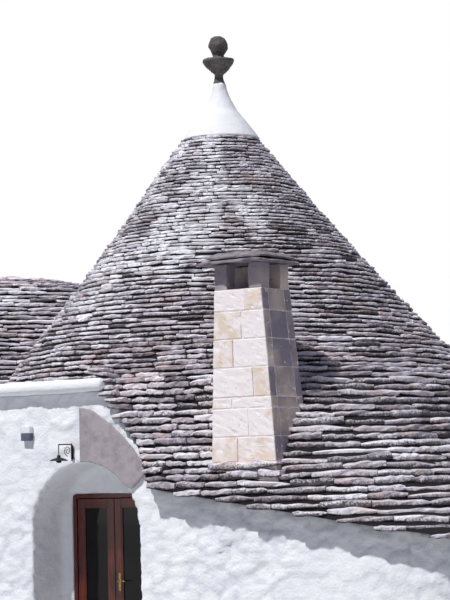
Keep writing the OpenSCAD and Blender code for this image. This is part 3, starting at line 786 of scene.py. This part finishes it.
def smoothLine(points, per=6):
    out = []
    for i in range(len(points) - 1):
        p0, p1 = points[max(0, i - 1)], points[i]
        p2, p3 = points[i + 1], points[min(len(points) - 1, i + 2)]
        for j in range(per):
            t = j / per
            out.append(tuple(0.5 * (2 * b + (c - a) * t + (2 * a - 5 * b + 4 * c - d) * t * t
                + (3 * b - a - 3 * c + d) * t ** 3) for a, b, c, d in zip(p0, p1, p2, p3)))
    return out + [points[-1]]


cap = {"foot": 6.655, "lip": 0.49, "top": 7.41, "settle": 0.024, "tall": 0.74}
capLine = smoothLine([(0.0, cap["foot"]), (0.43, cap["foot"]), (cap["lip"], cap["foot"] + 0.012),
    (0.478, 6.70), (0.42, 6.79), (0.356, 6.88), (0.288, 6.966), (0.218, 7.06), (0.148, 7.19), (0.099, 7.31),
    (0.074, cap["top"]), (0.0, cap["top"] + 0.004)])
plaster = turned("plasterCap", capLine, 96)
roughen(plaster, lambda p, n: 0.014 * noise.noise(p * 2.6) + 0.004 * grit(p, 10)
    if p.z > cap["foot"] + 0.01 else 0.006 * noise.noise(p * 6))
for v in plaster.data.vertices:  # the foot has settled to the right with the cone
    share = cap["settle"] * min(1.0, (cap["top"] - v.co.z) / cap["tall"])
    v.co.x += share * math.cos(viewSide)
    v.co.y += share * math.sin(viewSide)
dress(plaster, "render", replaced=("plaster_cap",))

finial = (
    ("finialStem", "finial_stem", 0.006, 40, [(0.0, 7.40), (0.074, 7.402), (0.064, 7.45), (0.058, 7.50),
        (0.060, 7.53), (0.078, 7.555), (0.0, 7.565)]),
    ("finialDish", "finial_dish", 0.012, 56, [(0.0, 7.555), (0.075, 7.556), (0.112, 7.585), (0.160, 7.632),
        (0.190, 7.672), (0.206, 7.700), (0.205, 7.722), (0.180, 7.736), (0.12, 7.742), (0.0, 7.744)]),
    ("finialBall", "finial_ball", 0.012, 48, [(0.0, 7.735), (0.08, 7.737), (0.074, 7.765), (0.072, 7.785),
        (0.102, 7.84), (0.125, 7.895), (0.124, 7.945), (0.096, 8.005), (0.05, 8.038), (0.0, 8.047)]),
)
for name, node, rough, steps, profile in finial:
    piece = turned(name, smoothLine(profile), steps)
    roughen(piece, lambda p, n: rough * noise.noise(p * 11) + 0.5 * rough * grit(p, 34))
    dress(piece, "finial", replaced=(node,))
print("cap and finial done")


# Chimney: sawn blocks in courses round the flue, with a lantern of four posts and a lid of slabs

chimney = {
    "joints": [2.18, 2.42, 2.70, 3.02, 3.145, 3.48, 3.80, 4.12, 4.37],
    "splits": [0.55, 0.42, 0.6, 0.34, 0.72, 0.38, 0.55, 0.64],
    "mortar": 0.006, "skin": 0.006, "deep": 0.13, "lantern": 0.29, "sideShadeGrey": 3.5, "postShadeGrey": 3.0,
}


def blockMesh(bm, corners, rng, size=0.012):
    tone = bm.verts.layers.float.get("tone") or bm.verts.layers.float.new("tone")
    share = rng.uniform(-0.9, 0.9)

    def corner(v):
        v[tone] = share
        i = (1 if v.co.x > 0 else 0) + (2 if v.co.y > 0 else 0) + (4 if v.co.z > 0 else 0)
        return Vector(corners[i]) + Vector([rng.uniform(-0.002, 0.002) for _ in range(3)])

    cut = roundedBox(bm, corner, size)
    long = [e for e in {e for v in cut for e in v.link_edges} if e.calc_length() > 0.05]
    bmesh.ops.subdivide_edges(bm, edges=long, cuts=7, use_grid_fill=True)


# Greys the faces that look towards +x by at least facing: painted shade with weathering
def shadeAndWeather(bm, amount, facing):
    tone = bm.verts.layers.float["tone"]
    bm.normal_update()
    for v in bm.verts:
        if v.normal.x >= facing:
            v[tone] += amount * (0.8 + 0.5 * noise.noise(v.co * 3.1))


def worn(p, n):
    pits = max(0.0, noise.noise(p * 19) - 0.2)
    return 0.004 * grit(p, 12, 0.8) - 0.02 * pits


def chimneyBlocks():
    rng = random.Random(3)
    bm = bmesh.new()
    mortar, skin, deep = chimney["mortar"], chimney["skin"], chimney["deep"]
    for split, z0, z1 in zip(chimney["splits"], chimney["joints"], chimney["joints"][1:]):
        rows = []
        for z in (z0 + mortar / 2, z1 - mortar / 2):
            x0, x1, y0, y1 = chimneyEdges(z)
            rows.append((x0 - skin, x1 + skin, y0 - skin, y1 + skin, z))

        def along(a, b, gap):
            return [(r[0] + (r[1] - r[0]) * a + (gap if a else 0), r[0] + (r[1] - r[0]) * b
                - (gap if b < 1 else 0)) for r in rows]

        def block(xs, ys):
            blockMesh(bm, [(xs[level][i], ys[level][j], rows[level][4])
                for level in (0, 1) for j in (0, 1) for i in (0, 1)], rng)

        for a, b in ((0.0, split), (split, 1.0)):
            block(along(a, b, mortar / 2), [(r[2], r[2] + deep) for r in rows])
            back = along(0.0, 1 - split, 0.0) if a == 0 else along(1 - split, 1.0, 0.0)
            block(back, [(r[3] - deep, r[3]) for r in rows])
        inner = [(r[2] + deep + mortar, r[3] - deep - mortar) for r in rows]
        block([(r[0], r[0] + deep) for r in rows], inner)
        block([(r[1] - deep, r[1]) for r in rows], inner)
    # the side towards +x greyed: painted shade on the side away from the sun, with weathering
    shadeAndWeather(bm, chimney["sideShadeGrey"], 0.6)
    return finishBm("chimneyBlocks", bm)


def lanternPosts():
    rng = random.Random(8)
    bm = bmesh.new()
    x0, x1 = house["chimX"], house["chimX"] + house["chimTopW"]
    y0, y1 = -house["chimTopY"], -house["chimTopY"] + house["chimTopD"]
    w = house["chimPost"]
    levels = (house["chimZ"], house["chimZ"] + chimney["lantern"])
    for px, py in ((x0, y0), (x1 - w, y0), (x0, y1 - w), (x1 - w, y1 - w)):
        jut = rng.uniform(-0.004, 0.004)
        corners = [(px + i * w + jut, py + j * w, z) for z in levels for j in (0, 1) for i in (0, 1)]
        blockMesh(bm, corners, rng, 0.009)
    # the posts greyed all round: painted shade under the lid, with weathering
    shadeAndWeather(bm, chimney["postShadeGrey"], -1.0)
    return finishBm("lanternPosts", bm)


for piece, nodes in ((chimneyBlocks(), ()), (lanternPosts(), ("chimney_posts",))):
    roughen(piece, worn)
    dress(piece, "chimney", replaced=nodes, smooth=False)
for name in ("chimney_base", "chimney_shaft"):
    paint(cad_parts[name], "chimney")


def lidSlab(name, node, seed, droop, lift):
    (x0, y0, z0), (x1, y1, z1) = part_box(node)
    bm = bmesh.new()
    bmesh.ops.create_cube(bm, size=1.0)
    bmesh.ops.subdivide_edges(bm, edges=bm.edges, cuts=13, use_grid_fill=True)
    shift = Vector((seed * 3.1, seed * 1.7, 0))
    for v in bm.verts:
        x, y, z = v.co
        ring = max(abs(x), abs(y)) * 2
        edge = ring ** 4
        angle = math.atan2(y, x)
        bite = 0.11 * noise.noise(Vector((math.cos(angle) * 1.6, math.sin(angle) * 1.6, 0)) + shift) * edge
        corner = 1 - 0.12 * max(0.0, abs(x) + abs(y) - 0.62) * 2
        px = (x0 + x1) / 2 + x * (x1 - x0) * (corner + bite)
        py = (y0 + y1) / 2 + y * (y1 - y0) * (corner + bite)
        thick = (z1 + lift - z0) * (1 - 0.7 * edge)
        rise = droop * (1 - ring ** 2) + 0.012 * noise.noise(Vector((px * 5, py * 5, 0)) + shift)
        v.co = Vector((px, py, z0 + thick * (z + 0.5) + rise))
    bmesh.ops.recalc_face_normals(bm, faces=bm.faces)
    ob = finishBm(name, bm)
    roughen(ob, lambda p, n: 0.006 * grit(p, 16))
    dress(ob, "capSlabs", replaced=(node,), smooth=False)


lidSlab("lidSlabLower", "chimney_slab_lower", 2, 0.016, 0.0)
lidSlab("lidSlabUpper", "chimney_slab_upper", 5, 0.03, 0.01)
print("chimney done")


# Door

door = {
    "outerY": -2.475, "innerY": -2.43, "hingeLeft": -0.502, "hingeRight": 0.622, "width": 0.558,
    "low": 0.108, "high": 2.042, "stile": 0.095, "rail": 0.26, "bevel": 0.006,
    "bead": 0.018, "beadT": 0.009, "lap": 0.002, "jamb": 0.05,
}


def woodBox(bm, x0, x1, y0, y1, z0, z1, bevel=0.004):
    def corner(v):
        return Vector((x1 if v.co.x > 0 else x0, y1 if v.co.y > 0 else y0, z1 if v.co.z > 0 else z0))

    roundedBox(bm, corner, bevel)


def doorLeaf(name, x0, node, body):
    d = door
    bm = bmesh.new()
    x1, lap, bead = x0 + d["width"], d["lap"], d["bead"]
    y0, y1 = d["outerY"], d["innerY"]
    left, right = x0 + d["stile"], x1 - d["stile"]
    low, high = d["low"] + d["rail"], d["high"] - d["stile"]
    for a, b in ((x0, left), (right, x1)):
        woodBox(bm, a, b, y0, y1, d["low"], d["high"], d["bevel"])
    for a, b in ((d["low"], low), (high, d["high"])):
        woodBox(bm, left - lap, right + lap, y0 + lap, y1 - lap, a, b)
    for face in (y0 + 0.007, y1 - 0.007 - d["beadT"]):  # glazing beads on both faces
        for a, b in ((left - lap, left + bead), (right - bead, right + lap)):
            woodBox(bm, a, b, face, face + d["beadT"], low, high, 0.003)
        for a, b in ((low - lap, low + bead), (high - bead, high + lap)):
            woodBox(bm, left, right, face, face + d["beadT"], a, b, 0.003)
    woodBox(bm, x0 + 0.05, x1 - 0.05, y0 - 0.004, y0 + 0.01, d["low"] + 0.05, low - 0.045)
    dress(finishBm(name, bm), "timber", body, (node,), smooth=False)


doorLeaf("leafLeftTimber", door["hingeLeft"], "leaf_left", "door_leaf_left")
doorLeaf("leafRightTimber", door["hingeRight"] - door["width"], "leaf_right", "door_leaf_right")


def doorFrameWood():
    (x0, y0, z0), (x1, y1, z1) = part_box("door_frame")
    jamb, lap = door["jamb"], door["lap"]
    bm = bmesh.new()
    for a, b in ((x0, x0 + jamb), (x1 - jamb, x1)):
        woodBox(bm, a, b, y0, y1, z0, z1, 0.005)
    woodBox(bm, x0 + jamb - lap, x1 - jamb + lap, y0 + lap, y1 - lap, z1 - jamb, z1, 0.005)
    return finishBm("doorFrameTimber", bm)


dress(doorFrameWood(), "timber", replaced=("door_frame",), smooth=False)
for name, finish in (("glass_left", "glass"), ("glass_right", "glass"), ("door_hinges", "brass"),
        ("floor", "floor"), ("threshold", "floor")):
    paint(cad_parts[name], finish)


def addRod(bm, segments, startR, endR, long, axis, place):
    rod = bmesh.ops.create_cone(bm, cap_ends=True, segments=segments, radius1=startR, radius2=endR,
        depth=long)["verts"]
    bmesh.ops.rotate(bm, verts=rod, cent=(0, 0, 0), matrix=Matrix.Rotation(math.radians(90), 3, axis))
    bmesh.ops.translate(bm, verts=rod, vec=place)


def handlePiece():
    (x0, y0, z0), (x1, y1, z1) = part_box("door_handle")
    plateX, outer = x0 + 0.018, door["outerY"]
    levelZ = z0 + 0.55 * (z1 - z0)
    bm = bmesh.new()
    woodBox(bm, x0, x0 + 0.036, outer - 0.006, outer, z0, z1, 0.0025)
    addRod(bm, 20, 0.011, 0.008, 0.05, "X", (plateX, outer - 0.027, levelZ))  # stalk
    addRod(bm, 20, 0.0085, 0.0065, 0.118, "Y", (plateX + 0.053, outer - 0.049, levelZ))  # grip
    addRod(bm, 16, 0.008, 0.008, 0.006, "X", (plateX, outer - 0.007, z0 + 0.04))  # keyhole's rim
    return finishBm("handleLever", bm)


dress(handlePiece(), "brass", "door_leaf_right", ("door_handle",), smooth=False)

curtain = {"folds": 9, "depth": 0.008, "pinch": 0.1, "rodR": 0.003, "rodIn": 0.012, "rodOver": 0.04}


def curtainCloth():
    (x0, y0, z0), (x1, y1, z1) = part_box("curtain")
    bm = bmesh.new()
    bmesh.ops.create_grid(bm, x_segments=110, y_segments=30, size=0.5)
    for v in bm.verts:
        u, t = v.co.x + 0.5, v.co.y + 0.5
        pinch = 1 - curtain["pinch"] * math.sin(math.pi * t)
        fold = math.sin(u * curtain["folds"] * math.tau + 0.8 * math.sin(t * 3 + u * 5))
        x = (x0 + x1) / 2 + (u - 0.5) * (x1 - x0) * pinch * 0.97
        v.co = Vector((x, (y0 + y1) / 2 + 0.5 * curtain["depth"] * fold, z0 + (z1 - z0) * t))
    bmesh.ops.recalc_face_normals(bm, faces=bm.faces)
    return finishBm("curtainCloth", bm)


def curtainRods():
    (x0, y0, z0), (x1, y1, z1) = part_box("curtain")
    bm = bmesh.new()
    for z in (z0 + curtain["rodIn"], z1 - curtain["rodIn"]):
        addRod(bm, 12, curtain["rodR"], curtain["rodR"], x1 - x0 + curtain["rodOver"], "Y",
            ((x0 + x1) / 2 - 0.008, (y0 + y1) / 2, z))
    return finishBm("curtainRods", bm)


cloth = curtainCloth()
dress(cloth, "cloth", "door_leaf_left", ("curtain",))
dress(curtainRods(), "brass", "door_leaf_left", smooth=False)
print("door done")


# Plaque, lamp and box on the front

plaque = mergedCopy("plaqueStone", ("plaque",))
remesh(plaque, 0.009, 2)
roughen(plaque, lambda p, n: 0.002 * grit(p, 25))
dress(plaque, "plaque", replaced=("plaque",))


def tube(bm, path, radius):
    curve = bpy.data.curves.new("tube", "CURVE")
    curve.dimensions = "3D"
    curve.bevel_depth = radius
    curve.bevel_resolution = 2
    curve.use_fill_caps = True
    line = curve.splines.new("POLY")
    line.points.add(len(path) - 1)
    for point, spot in zip(line.points, path):
        point.co = (*spot, 1.0)
    ob = bpy.data.objects.new("tube", curve)
    bm.from_mesh(ob.to_mesh())
    ob.to_mesh_clear()
    bpy.data.objects.remove(ob)
    bmesh.ops.remove_doubles(bm, verts=bm.verts, dist=0.00002)


lamp = {"x": -0.06, "wall": -3.1, "z": 2.5, "out": 0.26, "bar": 0.007, "drop": 0.006, "scroll": 0.004}


def bracketIron():
    x, wall, z, hang = lamp["x"], lamp["wall"], lamp["z"], lamp["out"] - 0.007
    scroll = []
    for i in range(26):
        t = i / 25
        angle = math.radians(-90 + 560 * t)
        r = 0.062 * (1 - 0.78 * t)
        scroll.append((0.09 + r * math.cos(angle), 0.112 + r * math.sin(angle)))
    bm = bmesh.new()
    for radius, line in (  # each bar's line, as (out from the wall, up)
        (lamp["bar"], [(0.012, -0.01), (0.012, 0.1), (0.012, 0.2)]),
        (lamp["bar"], [(0.004, 0.186), (0.14, 0.188), (hang, 0.186)]),
        (lamp["drop"], [(hang, 0.19), (hang, 0.12), (hang, 0.05)]),
        (lamp["scroll"], scroll),
    ):
        tube(bm, [(x, wall - away, z + up) for away, up in line], radius)
    plate = bmesh.ops.create_cube(bm, size=1.0)["verts"]
    for v in plate:
        v.co = Vector((x + v.co.x * 0.034, wall - 0.003 + v.co.y * 0.008, z + 0.095 + v.co.z * 0.16))
    bmesh.ops.recalc_face_normals(bm, faces=bm.faces)
    return finishBm("bracketIron", bm)


dress(bracketIron(), "iron", replaced=("lamp_bracket",))
shade = turned("lampShade", smoothLine([(0.0, 0.062), (0.02, 0.06), (0.024, 0.036), (0.05, 0.026),
    (0.09, 0.012), (0.108, -0.002), (0.104, -0.004), (0.07, 0.006), (0.034, 0.008), (0.031, -0.008),
    (0.028, -0.024), (0.0, -0.03)], 4), 40)
shade.data.transform(Matrix.Translation((lamp["x"], lamp["wall"] - lamp["out"] + 0.007, lamp["z"])))
dress(shade, "iron", replaced=("wall_lamp",))


def boxPart(name, finish, inset, low, high, bevel, replaced=()):
    (x0, y0, z0), (x1, y1, z1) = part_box("wall_box")
    tall = z1 - z0
    bm = bmesh.new()
    woodBox(bm, x0 + inset, x1 - inset, y0 + inset, y1, z0 + low * tall, z0 + high * tall, bevel)
    dress(finishBm(name, bm), finish, replaced=replaced, smooth=False)


boxPart("wallBoxLid", "box", 0.0, 0.52, 1.0, 0.007, ("wall_box",))
# the lower half takes the painted shade colour
boxPart("wallBoxBody", "boxLowerShade", 0.006, 0.0, 0.52, 0.006)
print("front things done")


# Floor, light and camera

light = {"sky": 0.17, "skyColour": "#bccbff", "sun": 3.75, "sunColour": (1.0, 0.985, 0.96), "softDeg": 2,
    "fromDeg": -99, "heightDeg": 59, "floor": "#c2c2c2"}


def stageFloor():
    bm = bmesh.new()
    bmesh.ops.create_grid(bm, x_segments=1, y_segments=1, size=90)
    bmesh.ops.translate(bm, verts=bm.verts, vec=(0, 0, -0.004))
    ob = finishBm("stageFloor", bm)
    pale = startMaterial("paleStudioFloor", 0.9, {"Base Color": linear(light["floor"])})
    ob.data.materials.append(pale[0])


# A faint blue sky as light, and plain white for what the camera, gloss and glass see
def studioWorld():
    world = bpy.data.worlds.new("studio")
    bpy.context.scene.world = world
    world.use_nodes = True
    tree = world.node_tree
    tree.nodes.clear()
    path = addNode(tree, "LightPath")
    seen = addNode(tree, "Math", {"operation": "MAXIMUM"},
        {0: path.outputs["Is Camera Ray"], 1: path.outputs["Is Glossy Ray"]})
    clear = addNode(tree, "Math", {"operation": "MAXIMUM"},
        {0: seen.outputs[0], 1: path.outputs["Is Transmission Ray"]})
    soft = addNode(tree, "Background", {"Color": linear(light["skyColour"]),
        "Strength": light["sky"]})
    plain = addNode(tree, "Background", {"Color": (1, 1, 1, 1), "Strength": 1.0})
    mix = addNode(tree, "MixShader", None, {"Fac": clear.outputs[0]})
    tree.links.new(soft.outputs[0], mix.inputs[1])
    tree.links.new(plain.outputs[0], mix.inputs[2])
    addNode(tree, "OutputWorld", None, {"Surface": mix.outputs[0]})


def keySun():
    sun = bpy.data.lights.new("keySun", "SUN")
    sun.energy = light["sun"]
    sun.angle = math.radians(light["softDeg"])
    sun.color = light["sunColour"]
    turn, high = math.radians(light["fromDeg"]), math.radians(light["heightDeg"])
    back = Vector((math.cos(turn) * math.cos(high), math.sin(turn) * math.cos(high), math.sin(high)))
    newObject("keySun", sun).rotation_euler = back.to_track_quat("Z", "Y").to_euler()


# The photo's camera, in metres, radians and pixels; axisPx is where the finial stands
camera = {
    "focal": 2200.0, "turn": math.radians(35.0), "far": 28.5, "eye": 2.17, "pitch": math.atan(185 / 2200),
    "roll": math.radians(1.3), "axisPx": 218.4, "axisZ": 7.8, "wide": 450, "high": 600, "sensor": 36,
}


def cameraAxes(turn):
    pitch, roll = camera["pitch"], camera["roll"]
    ahead = Vector((-math.sin(turn) * math.cos(pitch), math.cos(turn) * math.cos(pitch), math.sin(pitch)))
    right = Vector((math.cos(turn), math.sin(turn), 0))
    up = right.cross(ahead)
    return (ahead, math.cos(roll) * right - math.sin(roll) * up,
        math.sin(roll) * right + math.cos(roll) * up)


def placeCamera():
    c = camera
    spot = Vector((c["far"] * math.sin(c["turn"]), -c["far"] * math.cos(c["turn"]), c["eye"]))
    line = Vector((0, 0, c["axisZ"])) - spot
    low, high = -0.02, 0.02
    for _ in range(50):  # turned until the finial stands where the photo has it
        middle = (low + high) / 2
        ahead, right, up = cameraAxes(c["turn"] + middle)
        if c["wide"] / 2 + c["focal"] * line.dot(right) / line.dot(ahead) < c["axisPx"]:
            low = middle
        else:
            high = middle
    ahead, right, up = cameraAxes(c["turn"] + low)
    cam = bpy.data.cameras.new("photoCamera")
    cam.sensor_width = c["sensor"]
    cam.lens = c["focal"] / c["high"] * c["sensor"]
    cam.clip_end = 400
    ob = newObject("photoCamera", cam)
    place = Matrix.Identity(4)
    for i in range(3):
        place[i][0], place[i][1], place[i][2], place[i][3] = right[i], up[i], -ahead[i], spot[i]
    ob.matrix_world = place
    bpy.context.scene.camera = ob


stageFloor()
studioWorld()
keySun()
placeCamera()
bpy.context.scene.view_settings.view_transform = "Standard"
print("stage ready")
